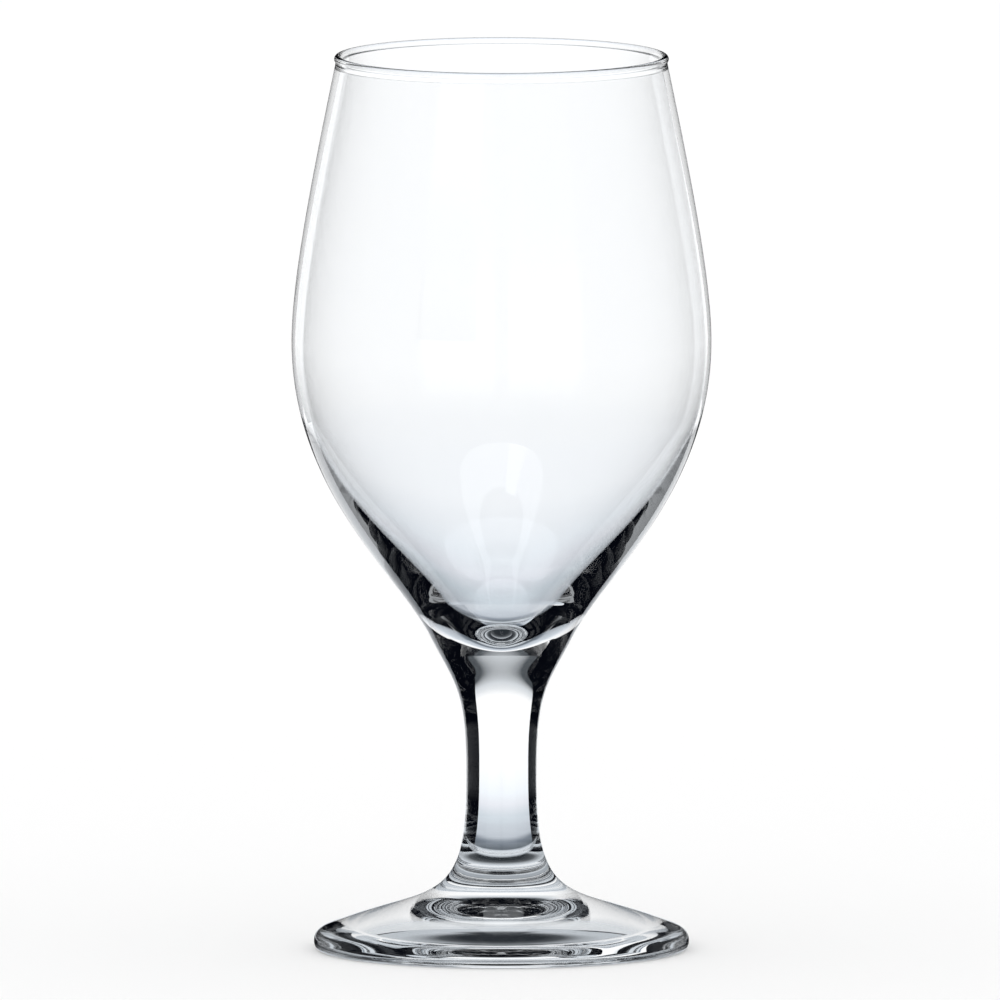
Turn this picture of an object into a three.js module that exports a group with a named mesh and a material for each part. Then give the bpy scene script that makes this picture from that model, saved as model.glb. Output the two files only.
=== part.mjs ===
// A stemmed drinking glass: a thin egg-shaped bowl, a solid waisted stem and a round foot.
// The three pieces are made apart and fused while hot. Each is a solid of revolution about Z
// that meets the next one on a flat weld face.
// Millimetres, +Z up, origin on the table under the middle of the foot.

import * as THREE from 'three';

// Foot
const footRadius = 35.45; // at its widest
const footWidestHeight = 1.65; // height of the widest point above the table
const footEdgeBand = 2.1; // width of the rounded edge, seen from above
const footEdgeHeight = 4.2; // height where the top meets the rounded edge
const footTopFall = 0.39; // how steeply the top falls at the rounded edge
const footTopPull = 20.7; // how far inwards that slope carries before the top turns upwards
const contactRadius = 33.8; // outer radius of the ring that the glass stands on
const contactWidth = 4.8; // width of that ring
const hollowDepth = 6; // height of the domed hollow under the foot
const footWeldHeight = 15; // height of the weld between foot and stem

// Stem
const waistRadius = 6.65; // the slimmest part
const waistLength = 1; // length of the straight waist
const rootLength = 17.8; // from the foot weld up to the straight waist
const rootPull = 25.3; // how long the root keeps close to the waist before it spreads into the foot
const flareLength = 26.2; // from the straight waist up to the crease under the bowl
const flarePull = 16.1; // how long the flare keeps close to the waist
const shoulderPull = 9.5; // how far the slope under the bowl carries downwards
const shoulderSlope = 0.5; // how fast the flare widens just under the crease
const shoulderRadius = 13.75; // radius of the crease

// Bowl
const bowlHeight = 110; // from the crease to the rim
const baseHeight = 5; // thick base under the crease, down to the weld between bowl and stem
const bowlSpread = 0.53; // how fast the bowl widens just above the crease
const bowlSpreadPull = 11.6; // how far that slope carries upwards
const bellyRadius = 39.7; // outside, at the widest
const bellyHeight = 55.5; // of the widest part, above the crease
const bellyPullDown = 27.8; // how far the upright wall carries below the widest part
const bellyPullUp = 12; // and above it
const bellyWall = 0.58; // wall thickness at the widest part
const thickeningStart = 0.2; // share of the way down to the crease where the wall starts to thicken
const bottomStart = 0.85; // share of the way down where the wall runs into the rounded bottom
const bottomWall = 4.4; // wall thickness there
const wallGrowth = 1.2; // how late the wall thickens between the two: 1 is steadily, more is later
const floorDrop = 0.7; // how far the lowest point inside lies below the crease
const rimRadius = 31.65; // outside of the fire-polished bead
const beadRadius = 0.72;
const beadStart = THREE.MathUtils.degToRad(-55); // where the outer wall runs into the bead
const rimSlope = 0.205; // how fast the wall leans in towards the rim
const rimPull = 20.8; // how far that slope carries downwards

// Fineness of the facets
const turnSegments = 48;
const longCurveSteps = 10;
const shortCurveSteps = 5;
const beadSteps = 8;

// Places that follow from the sizes above
const sweepTop = footWeldHeight + rootLength;
const flareBottom = sweepTop + waistLength;
const creaseZ = flareBottom + flareLength;
const bowlWeldHeight = creaseZ - baseHeight;
const bellyZ = creaseZ + bellyHeight;
const innerBellyRadius = bellyRadius - bellyWall;
const floorZ = creaseZ - floorDrop;
const footTopRadius = footRadius - footEdgeBand;
const hollowRadius = contactRadius - contactWidth;
const beadCentre = new THREE.Vector2(rimRadius - beadRadius, creaseZ + bowlHeight - beadRadius);

function point(radius, height) {
  return new THREE.Vector2(radius, height);
}

function cubic(start, startPull, endPull, end, steps) {
  return new THREE.CubicBezierCurve(start, startPull, endPull, end).getPoints(steps);
}

function quadratic(start, pull, end, steps) {
  return new THREE.QuadraticBezierCurve(start, pull, end).getPoints(steps);
}

function arc(centre, radius, fromAngle, toAngle, steps) {
  const points = [];
  for (let step = 0; step <= steps; step += 1) {
    const angle = fromAngle + (toAngle - fromAngle) * step / steps;
    points.push(point(centre.x + radius * Math.cos(angle), centre.y + radius * Math.sin(angle)));
  }
  return points;
}

// Stem and foot run into each other in one sweep, from the waist to the edge of the foot.
const sweep = new THREE.CubicBezierCurve(
  point(waistRadius, sweepTop),
  point(waistRadius, sweepTop - rootPull),
  point(footTopRadius - footTopPull, footEdgeHeight + footTopFall * footTopPull),
  point(footTopRadius, footEdgeHeight),
);

// The flare runs on across the weld and ends in the crease under the bowl.
const flare = new THREE.CubicBezierCurve(
  point(waistRadius, flareBottom),
  point(waistRadius, flareBottom + flarePull),
  point(shoulderRadius - shoulderSlope * shoulderPull, creaseZ - shoulderPull),
  point(shoulderRadius, creaseZ),
);

// The bowl's outside, from the crease up to the widest part
const lowerOutside = new THREE.CubicBezierCurve(
  point(shoulderRadius, creaseZ),
  point(shoulderRadius + bowlSpread * bowlSpreadPull, creaseZ + bowlSpreadPull),
  point(bellyRadius, bellyZ - bellyPullDown),
  point(bellyRadius, bellyZ),
);

// Halving finds where a curve that only rises, or only falls, crosses a height.
function parameterAt(curve, height) {
  const rises = curve.getPoint(1).y > curve.getPoint(0).y;
  let before = 0;
  let after = 1;
  for (let halving = 0; halving < 50; halving += 1) {
    const middle = (before + after) / 2;
    if ((curve.getPoint(middle).y < height) === rises) {
      before = middle;
    } else {
      after = middle;
    }
  }
  return after;
}

const footWeldParameter = parameterAt(sweep, footWeldHeight);
const footWeldRim = point(sweep.getPoint(footWeldParameter).x, footWeldHeight);
const bowlWeldParameter = parameterAt(flare, bowlWeldHeight);
const bowlWeldRim = point(flare.getPoint(bowlWeldParameter).x, bowlWeldHeight);

// Points between two places on a curve, without the places themselves
function between(curve, fromParameter, toParameter, steps) {
  const points = [];
  for (let step = 1; step < steps; step += 1) {
    points.push(curve.getPoint(fromParameter + (toParameter - fromParameter) * step / steps));
  }
  return points;
}

// A point on the inside of the wall: share is 0 at the widest part and 1 at the crease.
function innerWallPoint(share) {
  const outside = lowerOutside.getPoint(1 - share);
  const along = lowerOutside.getTangent(1 - share);
  const thickening = Math.max(0, share - thickeningStart) / (bottomStart - thickeningStart);
  const wall = bellyWall + (bottomWall - bellyWall) * thickening ** wallGrowth;
  return point(outside.x - along.y * wall, outside.y + along.x * wall);
}

// The inside runs down the wall from the widest part and ends in a rounded bottom on the axis.
function lowerInside() {
  const wall = [];
  for (let step = 0; step <= longCurveSteps; step += 1) {
    wall.push(innerWallPoint(bottomStart * step / longCurveSteps));
  }
  const wallEnd = innerWallPoint(bottomStart);
  const beforeEnd = innerWallPoint(0.999 * bottomStart);
  const spread = (beforeEnd.x - wallEnd.x) / (beforeEnd.y - wallEnd.y);
  const corner = point(wallEnd.x - spread * (wallEnd.y - floorZ), floorZ);
  const bottom = quadratic(wallEnd, corner, point(0, floorZ), shortCurveSteps);
  return [...wall, ...bottom.slice(1)];
}

// Each outline runs anticlockwise from the axis back to the axis: out along the underside,
// up the outside and back in along the top.

function footOutline() {
  const hollow = quadratic(
    point(0, hollowDepth),
    point(hollowRadius / 2, hollowDepth),
    point(hollowRadius, 0),
    shortCurveSteps,
  );
  const lowerEdge = quadratic(
    point(contactRadius, 0),
    point(footRadius, 0),
    point(footRadius, footWidestHeight),
    shortCurveSteps,
  );
  const edgeCorner = footEdgeHeight - footTopFall * footEdgeBand;
  const upperEdge = quadratic(
    point(footRadius, footWidestHeight),
    point(footRadius, edgeCorner),
    point(footTopRadius, footEdgeHeight),
    shortCurveSteps,
  );
  return [
    ...hollow,
    ...lowerEdge,
    ...upperEdge.slice(1),
    ...between(sweep, 1, footWeldParameter, longCurveSteps),
    footWeldRim,
    point(0, footWeldHeight),
  ];
}

function stemOutline() {
  return [
    point(0, footWeldHeight),
    footWeldRim,
    ...between(sweep, footWeldParameter, 0, longCurveSteps),
    point(waistRadius, sweepTop),
    point(waistRadius, flareBottom),
    ...between(flare, 0, bowlWeldParameter, longCurveSteps),
    bowlWeldRim,
    point(0, bowlWeldHeight),
  ];
}

function bowlOutline() {
  const bead = arc(beadCentre, beadRadius, beadStart, Math.PI, beadSteps);
  const neck = bead[0];
  const innerRim = bead[bead.length - 1];
  const upperOutside = cubic(
    point(bellyRadius, bellyZ),
    point(bellyRadius, bellyZ + bellyPullUp),
    point(neck.x + rimSlope * rimPull, neck.y - rimPull),
    neck,
    longCurveSteps,
  );
  const upperInside = cubic(
    innerRim,
    point(innerRim.x + rimSlope * rimPull, innerRim.y - rimPull),
    point(innerBellyRadius, bellyZ + bellyPullUp),
    point(innerBellyRadius, bellyZ),
    longCurveSteps,
  );
  return [
    point(0, bowlWeldHeight),
    bowlWeldRim,
    ...between(flare, bowlWeldParameter, 1, shortCurveSteps),
    ...lowerOutside.getPoints(longCurveSteps),
    ...upperOutside.slice(1),
    ...bead.slice(1),
    ...upperInside.slice(1),
    ...lowerInside().slice(1),
  ];
}

function clearGlass() {
  return new THREE.MeshStandardMaterial({
    color: 0xe8f0f4,
    roughness: 0.03,
    metalness: 0,
    transparent: true,
    opacity: 0.35,
  });
}

function turned(name, outline) {
  const geometry = new THREE.LatheGeometry(outline, turnSegments);
  geometry.rotateX(Math.PI / 2);
  const mesh = new THREE.Mesh(geometry, clearGlass());
  mesh.name = name;
  return mesh;
}

const glass = new THREE.Group();
glass.add(turned('foot', footOutline()));
glass.add(turned('stem', stemOutline()));
glass.add(turned('bowl', bowlOutline()));

export default glass;
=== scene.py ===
# Looks of a stemmed drinking glass: smooth clear pieces in place of the imported solids, photographed
# in front of glowing cards for a lit table and wall, with painted shade, between dark sides, as clear
# glass is.
import math

import bmesh
import bpy
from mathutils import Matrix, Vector


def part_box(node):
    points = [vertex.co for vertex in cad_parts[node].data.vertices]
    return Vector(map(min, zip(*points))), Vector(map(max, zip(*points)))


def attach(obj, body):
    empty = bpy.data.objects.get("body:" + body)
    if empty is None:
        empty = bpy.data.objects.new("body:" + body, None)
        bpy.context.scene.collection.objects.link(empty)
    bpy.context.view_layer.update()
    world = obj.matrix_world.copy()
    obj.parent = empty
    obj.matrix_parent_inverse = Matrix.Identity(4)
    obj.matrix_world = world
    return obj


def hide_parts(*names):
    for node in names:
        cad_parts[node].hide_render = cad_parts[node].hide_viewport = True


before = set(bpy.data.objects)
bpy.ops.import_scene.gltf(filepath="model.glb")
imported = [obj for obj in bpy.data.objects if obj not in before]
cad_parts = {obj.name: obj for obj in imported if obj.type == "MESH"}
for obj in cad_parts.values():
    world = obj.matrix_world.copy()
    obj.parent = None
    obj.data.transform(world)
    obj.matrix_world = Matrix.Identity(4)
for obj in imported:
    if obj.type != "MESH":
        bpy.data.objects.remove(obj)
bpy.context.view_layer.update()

MM = 0.001

# Shape of the glass in millimetres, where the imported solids' boxes don't already give it
FOOT_WIDEST_HEIGHT = 1.65
FOOT_EDGE_BAND = 2.1
FOOT_EDGE_HEIGHT = 4.2
FOOT_TOP_FALL = 0.39
FOOT_TOP_PULL = 20.7
CONTACT_RADIUS = 33.8
CONTACT_WIDTH = 4.8
HOLLOW_DEPTH = 6
WAIST_RADIUS = 6.65
WAIST_LENGTH = 1
ROOT_PULL = 25.3
FLARE_LENGTH = 26.2
FLARE_PULL = 16.1
SHOULDER_PULL = 9.5
SHOULDER_SLOPE = 0.5
SHOULDER_RADIUS = 13.75
BASE_HEIGHT = 5
BOWL_SPREAD = 0.53
BOWL_SPREAD_PULL = 11.6
BELLY_HEIGHT = 55.5
BELLY_PULL_DOWN = 27.8
BELLY_PULL_UP = 12
BELLY_WALL = 0.58
THICKENING_START = 0.2
BOTTOM_START = 0.85
BOTTOM_WALL = 4.4
WALL_GROWTH = 1.2
FLOOR_DROP = 0.7
RIM_RADIUS = 31.65
BEAD_RADIUS = 0.72
BEAD_START = math.radians(-55)
RIM_SLOPE = 0.205
RIM_PULL = 20.8

# Fineness of the turned surfaces
TURN_SEGMENTS = 192
LONG_STEPS = 48
SHORT_STEPS = 16
# Closer than this, in millimetres, two points are one, and a point lies on the axis
SAME_POINT = 1e-6
# Share of the inner wall's length just before its end, where its direction is measured
NEARLY_ALL = 0.999

# The glass itself
GLASS_COLOUR = (0.985, 0.993, 1.0, 1)
GLASS_IOR = 1.52
# Fine detail of the glass: waves left by the fire polish, and faint wear. Scales in waves per metre
WAVE_SCALE = 60
WAVE_DETAIL = 1
WAVE_HEIGHT = 0.00002
WEAR_SCALE = 45
WEAR_DETAIL = 4
WEAR_ROUGHNESS = 0.02
# The values of the wear pattern between which the roughness grows
WEAR_START = 0.45
WEAR_FULL = 0.8

# How often light may be thrown back and forth inside the thick wall of the glass
GUIDED_BOUNCES = 64

# The photograph: an almost level view through a long lens
VIEW_ELEVATION = math.radians(6.3)
FRAME_WIDTH = 0.1891
CAMERA_DISTANCE = 0.27
AIM = Vector((-0.00028, 0, 0.08537))

# The floor and the background that the camera sees, in metres
FLOOR_HALF = 5.0
FLOOR_COLOUR = (0.95, 0.95, 0.95, 1)
BACKGROUND_LEVEL = 1.06

# The studio that the glass shows, in metres, with bearings in degrees about the axis of the glass:
# 0 is straight behind it, and positive is to the right.
LIT_LEFT = -38
LIT_RIGHT = 28.5
# How far the table's cards lie below the floor, and out to where the table is mirrored
TABLE_DROP = 0.0004
TABLE_MIRRORED = 0.62
UNDER_RADIUS = 0.036
UNDER_STEPS = 48
WALL_DISTANCE = 2.0
DARK = (0.0015, 0.002, 0.004)
BLACK = (0, 0, 0)
WHITE = (1, 1, 1)
# How bright the cards are where their colour is white, unless a card has its own level
LIT_LEVEL = 1.14
# Glow of the table cards by distance from the axis, standing in for a lit table: darker at the axis,
# light under the foot, a painted shadow of the foot from 42 to 60 mm, and painted shade that lightens
# towards white farther out
TABLE_LIGHT_AND_SHADE = (
    (0.000, (0.02, 0.024, 0.03)),
    (0.011, (0.03, 0.035, 0.04)),
    (0.018, (0.62, 0.66, 0.70)),
    (0.036, (0.62, 0.66, 0.70)),
    (0.042, (0.12, 0.14, 0.16)),
    (0.060, (0.19, 0.22, 0.26)),
    (0.072, (0.49, 0.53, 0.58)),
    (0.095, (0.55, 0.59, 0.64)),
    (0.130, (0.61, 0.67, 0.72)),
    (0.176, (0.79, 0.81, 0.86)),
    (0.225, (0.87, 0.91, 0.95)),
    (0.270, (0.91, 0.935, 0.965)),
    (0.335, (0.965, 0.98, 1)),
    (1.000, WHITE),
)
# Glow of the wall card by its height, standing in for a lit wall: white up to 0.65 m, then painted
# shade that darkens it towards the top
WALL_LIGHT_AND_SHADE = (
    (0.00, WHITE),
    (0.65, WHITE),
    (0.89, (0.78, 0.80, 0.82)),
    (1.11, (0.66, 0.69, 0.72)),
    (1.30, (0.44, 0.46, 0.48)),
    (1.51, (0.08, 0.09, 0.10)),
)
# The wall as seen from the glass, in degrees: it starts just below the table and ends at one
# elevation, through points at these bearings
WALL_FOOT = -1
WALL_TOP = 38
WALL_TOP_BEARINGS = (LIT_RIGHT, 14, 0, -19, LIT_LEFT)
# Two soft lights beside the camera and their colour by height
SIDE_LIGHT_DISTANCE = 1.0
SIDE_LIGHT_BEARINGS = (134, 176)
SIDE_LIGHT_COLOURS = (
    (-0.27, BLACK),
    (-0.14, (0.30, 0.31, 0.32)),
    (0.34, (0.30, 0.31, 0.32)),
    (0.55, BLACK),
)
# A white screen bent around the bowl, open at the back and clear of the stem, which the glass only
# mirrors, and its colour by height
SCREEN_DISTANCE = 0.06
SCREEN_BEARINGS = (62, 82, 102, 121, 141, 160, 180, 200, 219, 239, 258, 278, 298)
SCREEN_COLOURS = (
    (0.092, BLACK),
    (0.112, (0.9, 0.91, 0.92)),
    (0.30, (0.9, 0.91, 0.92)),
)
# A strip light in front of the screen, also only mirrored, and its colour by height
STRIP_DISTANCE = 0.056
STRIP_BEARINGS = (-149, -171)
STRIP_LEVEL = 1.9
STRIP_COLOURS = (
    (0.12, BLACK),
    (0.17, WHITE),
    (0.30, WHITE),
)


def measured_sizes():
    """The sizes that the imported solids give, in millimetres."""
    foot_low, foot_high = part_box("foot")
    bowl_low, bowl_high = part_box("bowl")
    return {
        "foot_radius": foot_high.x / MM,
        "foot_weld": foot_high.z / MM,
        "bowl_weld": bowl_low.z / MM,
        "crease": bowl_low.z / MM + BASE_HEIGHT,
        "belly": bowl_low.z / MM + BASE_HEIGHT + BELLY_HEIGHT,
        "belly_radius": bowl_high.x / MM,
        "rim_height": bowl_high.z / MM,
    }


SIZE = measured_sizes()


def bezier(corners, t):
    """The point (radius, height) at t on a cubic curve."""
    u = 1 - t
    weights = (u ** 3, 3 * u * u * t, 3 * u * t * t, t ** 3)
    return tuple(sum(w * c[i] for w, c in zip(weights, corners)) for i in (0, 1))


def heading(corners, t):
    """The direction of a cubic curve at t, of length 1."""
    u = 1 - t
    weights = (u * u, 2 * u * t, t * t)
    legs = list(zip(corners, corners[1:]))
    run, rise = (sum(w * (b[i] - a[i]) for w, (a, b) in zip(weights, legs)) for i in (0, 1))
    length = math.hypot(run, rise)
    return run / length, rise / length


def curve(corners, steps):
    """Points along a cubic curve, both ends included."""
    return [bezier(corners, step / steps) for step in range(steps + 1)]


def quadratic(start, pull, end, steps):
    """Points along a parabola from start to end."""
    first = tuple(a + (b - a) * 2 / 3 for a, b in zip(start, pull))
    second = tuple(a + (b - a) * 2 / 3 for a, b in zip(end, pull))
    return curve((start, first, second, end), steps)


def arc(centre, radius, from_angle, to_angle, steps):
    """Points along a circular arc."""
    points = []
    for step in range(steps + 1):
        angle = from_angle + (to_angle - from_angle) * step / steps
        points.append((centre[0] + radius * math.cos(angle), centre[1] + radius * math.sin(angle)))
    return points


def level(radius, height):
    """A flat face from the axis out to a radius."""
    return [(0, height), (radius, height)]


def cut(points, height):
    """Splits a rising curve at a height into the part below and the part above, which share a point."""
    below = [p for p in points if p[1] < height]
    above = [p for p in points if p[1] > height]
    (r0, z0), (r1, z1) = below[-1], above[0]
    rim = (r0 + (r1 - r0) * (height - z0) / (z1 - z0), height)
    return below + [rim], [rim] + above


def sweep_parts():
    """The sweep from the edge of the foot up to the waist, as the foot's part and the stem's part."""
    top = SIZE["crease"] - FLARE_LENGTH - WAIST_LENGTH
    foot_top_radius = SIZE["foot_radius"] - FOOT_EDGE_BAND
    sweep = (
        (foot_top_radius, FOOT_EDGE_HEIGHT),
        (foot_top_radius - FOOT_TOP_PULL, FOOT_EDGE_HEIGHT + FOOT_TOP_FALL * FOOT_TOP_PULL),
        (WAIST_RADIUS, top - ROOT_PULL),
        (WAIST_RADIUS, top),
    )
    return cut(curve(sweep, 2 * LONG_STEPS), SIZE["foot_weld"])


def flare_parts():
    """The flare from the waist up to the crease, as the stem's part and the bowl's part."""
    crease = SIZE["crease"]
    bottom = crease - FLARE_LENGTH
    flare = (
        (WAIST_RADIUS, bottom),
        (WAIST_RADIUS, bottom + FLARE_PULL),
        (SHOULDER_RADIUS - SHOULDER_SLOPE * SHOULDER_PULL, crease - SHOULDER_PULL),
        (SHOULDER_RADIUS, crease),
    )
    return cut(curve(flare, LONG_STEPS), SIZE["bowl_weld"])


def foot_outline():
    """Stretches of the foot's outline: (points, is a weld face)."""
    radius = SIZE["foot_radius"]
    top_radius = radius - FOOT_EDGE_BAND
    hollow_radius = CONTACT_RADIUS - CONTACT_WIDTH
    corner = FOOT_EDGE_HEIGHT - FOOT_TOP_FALL * FOOT_EDGE_BAND
    widest = (radius, FOOT_WIDEST_HEIGHT)
    dome = (0, HOLLOW_DEPTH)
    dome_pull = (hollow_radius / 2, HOLLOW_DEPTH)
    top, _ = sweep_parts()
    hollow = quadratic(dome, dome_pull, (hollow_radius, 0), SHORT_STEPS)
    lower_edge = quadratic((CONTACT_RADIUS, 0), (radius, 0), widest, SHORT_STEPS)
    upper_edge = quadratic(widest, (radius, corner), (top_radius, FOOT_EDGE_HEIGHT), SHORT_STEPS)
    outside = hollow + lower_edge + upper_edge[1:] + top[1:]
    return [(outside, False), (level(*top[-1])[::-1], True)]


def stem_outline():
    """Stretches of the stem's outline: (points, is a weld face)."""
    _, root = sweep_parts()
    flare, _ = flare_parts()
    return [(level(*root[0]), True), (root + flare, False), (level(*flare[-1])[::-1], True)]


def lower_outside():
    """The bowl's outside from the crease up to the belly."""
    belly = SIZE["belly_radius"]
    return (
        (SHOULDER_RADIUS, SIZE["crease"]),
        (SHOULDER_RADIUS + BOWL_SPREAD * BOWL_SPREAD_PULL, SIZE["crease"] + BOWL_SPREAD_PULL),
        (belly, SIZE["belly"] - BELLY_PULL_DOWN),
        (belly, SIZE["belly"]),
    )


def inner_wall_point(share):
    """A point on the inside, at a share of the way from the belly to the crease. The wall is even at
    first and then thickens downwards."""
    outside = lower_outside()
    radius, height = bezier(outside, 1 - share)
    run, rise = heading(outside, 1 - share)
    thickening = max(0, share - THICKENING_START) / (BOTTOM_START - THICKENING_START)
    wall = BELLY_WALL + (BOTTOM_WALL - BELLY_WALL) * thickening ** WALL_GROWTH
    return radius - rise * wall, height + run * wall


def lower_inside():
    """The inside from the belly down the wall and across the rounded bottom to the axis."""
    wall = [inner_wall_point(BOTTOM_START * step / LONG_STEPS) for step in range(LONG_STEPS + 1)]
    end = wall[-1]
    before = inner_wall_point(NEARLY_ALL * BOTTOM_START)
    spread = (before[0] - end[0]) / (before[1] - end[1])
    floor = SIZE["crease"] - FLOOR_DROP
    corner = (end[0] - spread * (end[1] - floor), floor)
    return wall + quadratic(end, corner, (0, floor), SHORT_STEPS)[1:]


def bowl_outline():
    """Stretches of the bowl's outline: (points, is a weld face)."""
    belly = SIZE["belly_radius"]
    inner_belly = belly - BELLY_WALL
    belly_z = SIZE["belly"]
    _, base = flare_parts()
    bead_centre = (RIM_RADIUS - BEAD_RADIUS, SIZE["rim_height"] - BEAD_RADIUS)
    bead = arc(bead_centre, BEAD_RADIUS, BEAD_START, math.pi, SHORT_STEPS)
    neck = bead[0]
    inner = bead[-1]
    upper_outside = curve((
        (belly, belly_z),
        (belly, belly_z + BELLY_PULL_UP),
        (neck[0] + RIM_SLOPE * RIM_PULL, neck[1] - RIM_PULL),
        neck,
    ), LONG_STEPS)
    upper_inside = curve((
        inner,
        (inner[0] + RIM_SLOPE * RIM_PULL, inner[1] - RIM_PULL),
        (inner_belly, belly_z + BELLY_PULL_UP),
        (inner_belly, belly_z),
    ), LONG_STEPS)
    outside = curve(lower_outside(), LONG_STEPS) + upper_outside[1:]
    inside = upper_inside[1:] + lower_inside()[1:]
    return [(level(*base[0]), True), (base, False), (outside + bead[1:] + inside, False)]


def ring(bm, radius, height):
    """A ring of vertices about Z, or the one vertex on the axis."""
    if radius < SAME_POINT:
        return [bm.verts.new((0, 0, height * MM))]
    ring_verts = []
    for segment in range(TURN_SEGMENTS):
        angle = math.tau * segment / TURN_SEGMENTS
        across = radius * MM * math.cos(angle)
        along = radius * MM * math.sin(angle)
        ring_verts.append(bm.verts.new((across, along, height * MM)))
    return ring_verts


def bridge(bm, low, high, is_weld):
    """Faces between two rings, facing outwards when the outline runs anticlockwise."""
    faces = []
    for segment in range(TURN_SEGMENTS):
        after = (segment + 1) % TURN_SEGMENTS
        if len(low) == 1:
            corners = (low[0], high[after], high[segment])
        elif len(high) == 1:
            corners = (low[segment], low[after], high[0])
        else:
            corners = (low[segment], low[after], high[after], high[segment])
        face = bm.faces.new(corners)
        face.material_index = int(is_weld)
        face.smooth = not is_weld
        faces.append(face)
    return faces


def turned(name, outline, glass, weld):
    """A closed piece turned about Z from stretches of outline, with sharp edges between stretches."""
    bm = bmesh.new()
    last_point = None
    last_ring = None
    stretch_of = {}
    for stretch, (points, is_weld) in enumerate(outline):
        for point in points:
            if last_point is not None and math.dist(point, last_point) < SAME_POINT:
                continue
            here = ring(bm, *point)
            if last_ring is not None:
                for face in bridge(bm, last_ring, here, is_weld):
                    stretch_of[face] = stretch
            last_point = point
            last_ring = here
    for edge in bm.edges:
        edge.smooth = len({stretch_of[face] for face in edge.link_faces}) == 1
    mesh = bpy.data.meshes.new(name)
    bm.to_mesh(mesh)
    bm.free()
    mesh.materials.append(glass)
    mesh.materials.append(weld)
    piece = bpy.data.objects.new(name, mesh)
    bpy.context.scene.collection.objects.link(piece)
    return piece


def new_material(name):
    """An empty node material, with its nodes and links."""
    material = bpy.data.materials.new(name)
    material.use_nodes = True
    material.node_tree.nodes.clear()
    return material, material.node_tree.nodes, material.node_tree.links


def noise(nodes, links, scale, detail):
    """A noise pattern that stays with the piece, with a scale in waves per metre."""
    place = nodes.new("ShaderNodeTexCoord")
    pattern = nodes.new("ShaderNodeTexNoise")
    pattern.inputs["Scale"].default_value = scale
    pattern.inputs["Detail"].default_value = detail
    links.new(place.outputs["Object"], pattern.inputs["Vector"])
    return pattern


def clear_glass():
    """Fire-polished glass: hardly wavy, and a little less bright where hands and cloths have been."""
    material, nodes, links = new_material("clear_glass")
    output = nodes.new("ShaderNodeOutputMaterial")
    glass = nodes.new("ShaderNodeBsdfPrincipled")
    glass.inputs["Base Color"].default_value = GLASS_COLOUR
    glass.inputs["IOR"].default_value = GLASS_IOR
    glass.inputs["Transmission Weight"].default_value = 1.0
    wear = nodes.new("ShaderNodeMapRange")
    wear.inputs["From Min"].default_value = WEAR_START
    wear.inputs["From Max"].default_value = WEAR_FULL
    wear.inputs["To Max"].default_value = WEAR_ROUGHNESS
    links.new(noise(nodes, links, WEAR_SCALE, WEAR_DETAIL).outputs["Fac"], wear.inputs["Value"])
    links.new(wear.outputs["Result"], glass.inputs["Roughness"])
    waves = nodes.new("ShaderNodeBump")
    waves.inputs["Strength"].default_value = 1.0
    waves.inputs["Distance"].default_value = WAVE_HEIGHT
    links.new(noise(nodes, links, WAVE_SCALE, WAVE_DETAIL).outputs["Fac"], waves.inputs["Height"])
    links.new(waves.outputs["Normal"], glass.inputs["Normal"])
    links.new(glass.outputs["BSDF"], output.inputs["Surface"])
    return material


def weld_face():
    """Where two pieces are fused the glass runs on, so the face can't be seen."""
    material, nodes, links = new_material("weld")
    output = nodes.new("ShaderNodeOutputMaterial")
    clear = nodes.new("ShaderNodeBsdfPrincipled")
    clear.inputs["Alpha"].default_value = 0.0
    links.new(clear.outputs["BSDF"], output.inputs["Surface"])
    return material


def make_camera():
    """The camera at the photograph's angle."""
    data = bpy.data.cameras.new("camera")
    data.type = "ORTHO"
    data.ortho_scale = FRAME_WIDTH
    camera = bpy.data.objects.new("camera", data)
    bpy.context.scene.collection.objects.link(camera)
    back = Vector((0, -math.cos(VIEW_ELEVATION), math.sin(VIEW_ELEVATION)))
    camera.location = AIM + back * CAMERA_DISTANCE
    camera.rotation_mode = "QUATERNION"
    camera.rotation_quaternion = (-back).to_track_quat("-Z", "Y")
    bpy.context.scene.camera = camera
    return camera


def make_turntable(camera):
    """Carries the studio round with the camera's bearing, as the glass would be turned on a table in
    a studio that stands still, so that it has the light behind it from every side."""
    turntable = bpy.data.objects.new("turntable", None)
    bpy.context.scene.collection.objects.link(turntable)
    turn = turntable.constraints.new("COPY_ROTATION")
    turn.target = camera
    turn.use_x = False
    turn.use_y = False
    return turntable


def reach(colours):
    """The first and the last place in a list of colours by place."""
    return colours[0][0], colours[-1][0]


def measured(nodes, links, measure):
    """The distance from the axis, or else the height, of a place on a card."""
    place = nodes.new("ShaderNodeTexCoord")
    if measure == "distance":
        length = nodes.new("ShaderNodeVectorMath")
        length.operation = "LENGTH"
        links.new(place.outputs["Object"], length.inputs[0])
        return length.outputs["Value"]
    parts = nodes.new("ShaderNodeSeparateXYZ")
    links.new(place.outputs["Object"], parts.inputs["Vector"])
    return parts.outputs["Z"]


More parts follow.
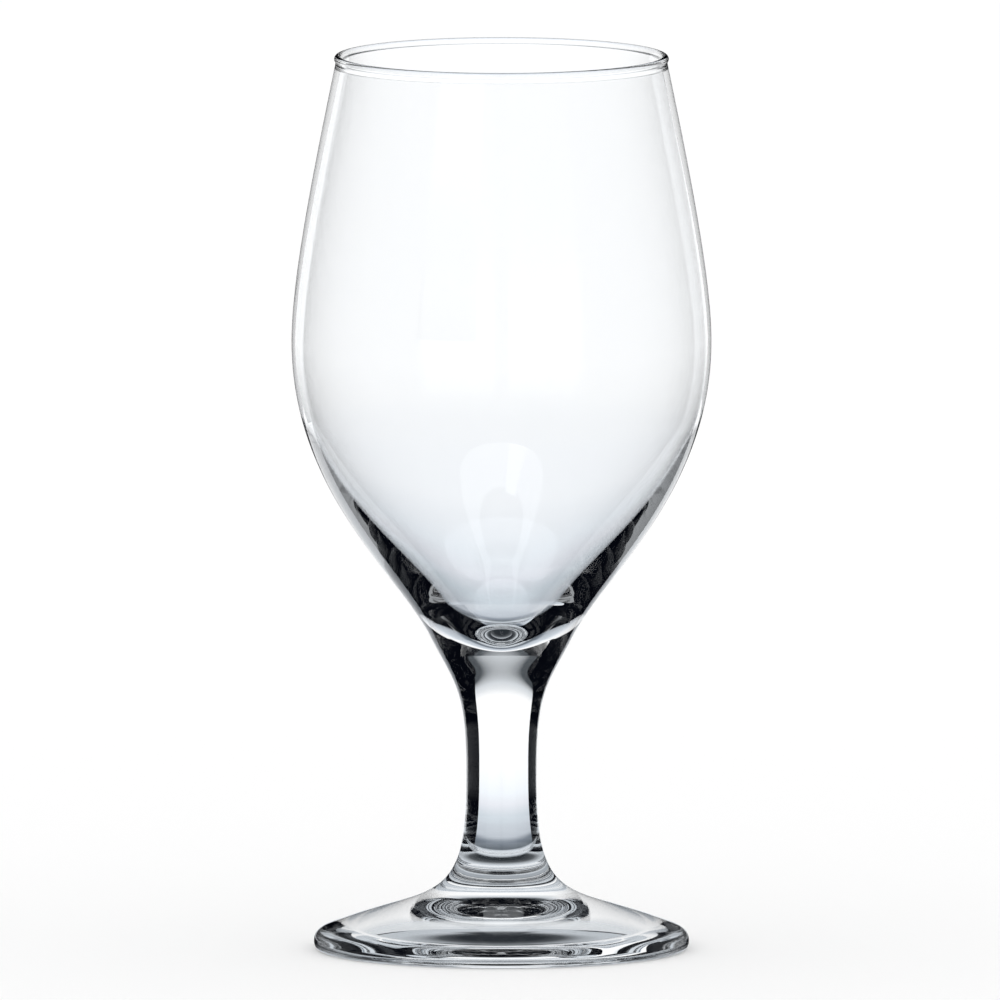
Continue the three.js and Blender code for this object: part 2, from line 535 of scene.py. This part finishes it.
def graded_glow(name, measure, colours, strength=LIT_LEVEL):
    """Light whose colour follows a measure of the place: the distance from the axis or the height."""
    material, nodes, links = new_material(name)
    output = nodes.new("ShaderNodeOutputMaterial")
    light = nodes.new("ShaderNodeEmission")
    light.inputs["Strength"].default_value = strength
    start, end = reach(colours)
    scale = nodes.new("ShaderNodeMapRange")
    scale.inputs["From Min"].default_value = start
    scale.inputs["From Max"].default_value = end
    ramp = nodes.new("ShaderNodeValToRGB")
    stops = ramp.color_ramp.elements
    while len(stops) < len(colours):
        stops.new(1.0)
    for stop, (place, colour) in zip(stops, colours):
        stop.position = (place - start) / (end - start)
        stop.color = (*colour, 1)
    links.new(measured(nodes, links, measure), scale.inputs["Value"])
    links.new(scale.outputs["Result"], ramp.inputs["Fac"])
    links.new(ramp.outputs["Color"], light.inputs["Color"])
    links.new(light.outputs["Emission"], output.inputs["Surface"])
    return material


def toward(bearing, distance):
    """The place on the table at a bearing in degrees."""
    angle = math.radians(bearing)
    return distance * math.sin(angle), distance * math.cos(angle)


def on_wall(bearing, elevation):
    """The point of the wall that is seen from the glass at a bearing and an elevation in degrees."""
    away = WALL_DISTANCE / math.cos(math.radians(bearing))
    return (*toward(bearing, away), away * math.tan(math.radians(elevation)))


def card(turntable, name, corners, material, faces=None, mirrored=True, seen_through=True):
    """A card that only the glass shows, mirrored on its surface, seen through it or both. It is flat,
    with one face, unless its faces are given."""
    mesh = bpy.data.meshes.new(name)
    mesh.from_pydata(corners, [], faces or [range(len(corners))])
    mesh.materials.append(material)
    piece = bpy.data.objects.new(name, mesh)
    bpy.context.scene.collection.objects.link(piece)
    piece.parent = turntable
    piece.visible_camera = False
    piece.visible_glossy = mirrored
    piece.visible_transmission = seen_through
    piece.visible_diffuse = False
    piece.visible_shadow = False
    piece.visible_volume_scatter = False


def upright(turntable, name, bearings, heights, distance, material, seen_through=True):
    """An upright card that runs from bearing to bearing."""
    corners = [(*toward(bearing, distance), height) for bearing in bearings for height in heights]
    faces = [(low, low + 2, low + 3, low + 1) for low in range(0, len(corners) - 2, 2)]
    card(turntable, name, corners, material, faces, seen_through=seen_through)


def lying(places, drop):
    """Corners of a card that lies a little below the floor."""
    return [(*place[:2], -drop) for place in places]


def make_glowing_table(turntable):
    """Glowing cards that stand in for a lit table, with painted shade and a painted shadow of the foot:
    a fan behind the glass, of which only the near part is mirrored, and a disc under the foot."""
    table_glow_with_painted_shadow = graded_glow("table_glow_with_painted_shadow", "distance", TABLE_LIGHT_AND_SHADE)
    near = [toward(LIT_LEFT, TABLE_MIRRORED), toward(LIT_RIGHT, TABLE_MIRRORED)]
    far = [on_wall(LIT_RIGHT, 0), on_wall(LIT_LEFT, 0)]
    under = [toward(360 * step / UNDER_STEPS, UNDER_RADIUS) for step in range(UNDER_STEPS)]
    card(turntable, "near_table", lying([(0, 0)] + near, TABLE_DROP), table_glow_with_painted_shadow)
    card(turntable, "far_table", lying(near + far, TABLE_DROP), table_glow_with_painted_shadow, mirrored=False)
    card(turntable, "under", lying(under, 2 * TABLE_DROP), table_glow_with_painted_shadow)


def make_glowing_wall(turntable):
    """A glowing card behind the glass that stands in for a lit wall, with painted shade that darkens it
    towards the top. It is only seen through the glass.
    """
    outline = [on_wall(LIT_LEFT, WALL_FOOT), on_wall(LIT_RIGHT, WALL_FOOT)]
    outline += [on_wall(bearing, WALL_TOP) for bearing in WALL_TOP_BEARINGS]
    wall_glow_with_painted_shade = graded_glow("wall_glow_with_painted_shade", "height", WALL_LIGHT_AND_SHADE)
    card(turntable, "wall", outline, wall_glow_with_painted_shade, mirrored=False)


def make_lights(turntable):
    """Two soft lights beside the camera, the screen around the bowl and the strip light."""
    side_glow = graded_glow("side_glow", "height", SIDE_LIGHT_COLOURS)
    side_heights = reach(SIDE_LIGHT_COLOURS)
    for side, sign in (("left", -1), ("right", 1)):
        bearings = [sign * bearing for bearing in SIDE_LIGHT_BEARINGS]
        upright(turntable, "light_" + side, bearings, side_heights, SIDE_LIGHT_DISTANCE, side_glow)
    screen_glow = graded_glow("screen_glow", "height", SCREEN_COLOURS)
    screen_heights = reach(SCREEN_COLOURS)
    upright(turntable, "screen", SCREEN_BEARINGS, screen_heights, SCREEN_DISTANCE, screen_glow, False)
    strip_glow = graded_glow("strip_glow", "height", STRIP_COLOURS, STRIP_LEVEL)
    strip_heights = reach(STRIP_COLOURS)
    upright(turntable, "strip", STRIP_BEARINGS, strip_heights, STRIP_DISTANCE, strip_glow, False)


def make_floor():
    """A plain pale floor, which takes the shadow. In the glass the glowing table cards, with their
    painted shade, stand in for it.
    """
    material, nodes, links = new_material("floor")
    output = nodes.new("ShaderNodeOutputMaterial")
    paint = nodes.new("ShaderNodeBsdfDiffuse")
    paint.inputs["Color"].default_value = FLOOR_COLOUR
    links.new(paint.outputs["BSDF"], output.inputs["Surface"])
    mesh = bpy.data.meshes.new("floor")
    signs = ((-1, -1), (1, -1), (1, 1), (-1, 1))
    corners = [(x * FLOOR_HALF, y * FLOOR_HALF, 0) for x, y in signs]
    mesh.from_pydata(corners, [], [(0, 1, 2, 3)])
    mesh.materials.append(material)
    floor = bpy.data.objects.new("floor", mesh)
    bpy.context.scene.collection.objects.link(floor)
    floor.visible_transmission = False
    floor.visible_glossy = False


def glass_rays(nodes, links):
    """1 for a ray that leaves the glass, and 0 for one that comes from the camera or the floor."""
    path = nodes.new("ShaderNodeLightPath")
    either = nodes.new("ShaderNodeMath")
    either.operation = "MAXIMUM"
    links.new(path.outputs["Is Transmission Ray"], either.inputs[0])
    links.new(path.outputs["Is Glossy Ray"], either.inputs[1])
    from_glass = nodes.new("ShaderNodeMath")
    from_glass.operation = "SUBTRACT"
    from_glass.use_clamp = True
    links.new(either.outputs["Value"], from_glass.inputs[0])
    links.new(path.outputs["Diffuse Depth"], from_glass.inputs[1])
    return from_glass.outputs["Value"]


def make_world():
    """White for the floor and the background, dark for what the glass itself mirrors and bends."""
    world = bpy.data.worlds.new("studio")
    bpy.context.scene.world = world
    world.use_nodes = True
    world.cycles.sampling_method = "NONE"
    nodes = world.node_tree.nodes
    links = world.node_tree.links
    nodes.clear()
    output = nodes.new("ShaderNodeOutputWorld")
    white = nodes.new("ShaderNodeBackground")
    white.inputs["Color"].default_value = (*WHITE, 1)
    white.inputs["Strength"].default_value = BACKGROUND_LEVEL
    dark = nodes.new("ShaderNodeBackground")
    dark.inputs["Color"].default_value = (*DARK, 1)
    dark.inputs["Strength"].default_value = 1.0
    mix = nodes.new("ShaderNodeMixShader")
    links.new(glass_rays(nodes, links), mix.inputs["Fac"])
    links.new(white.outputs["Background"], mix.inputs[1])
    links.new(dark.outputs["Background"], mix.inputs[2])
    links.new(mix.outputs["Shader"], output.inputs["Surface"])


scene = bpy.context.scene
scene.view_settings.view_transform = "Standard"
scene.cycles.max_bounces = GUIDED_BOUNCES
scene.cycles.transmission_bounces = GUIDED_BOUNCES
scene.cycles.glossy_bounces = GUIDED_BOUNCES
scene.cycles.transparent_max_bounces = GUIDED_BOUNCES

camera = make_camera()
turntable = make_turntable(camera)
make_glowing_table(turntable)
make_glowing_wall(turntable)
make_lights(turntable)
make_floor()
make_world()

glass = clear_glass()
weld = weld_face()
for node, outline in (("foot", foot_outline()), ("stem", stem_outline()), ("bowl", bowl_outline())):
    piece = turned(node + "_glass", outline, glass, weld)
    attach(piece, "root")
    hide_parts(node)
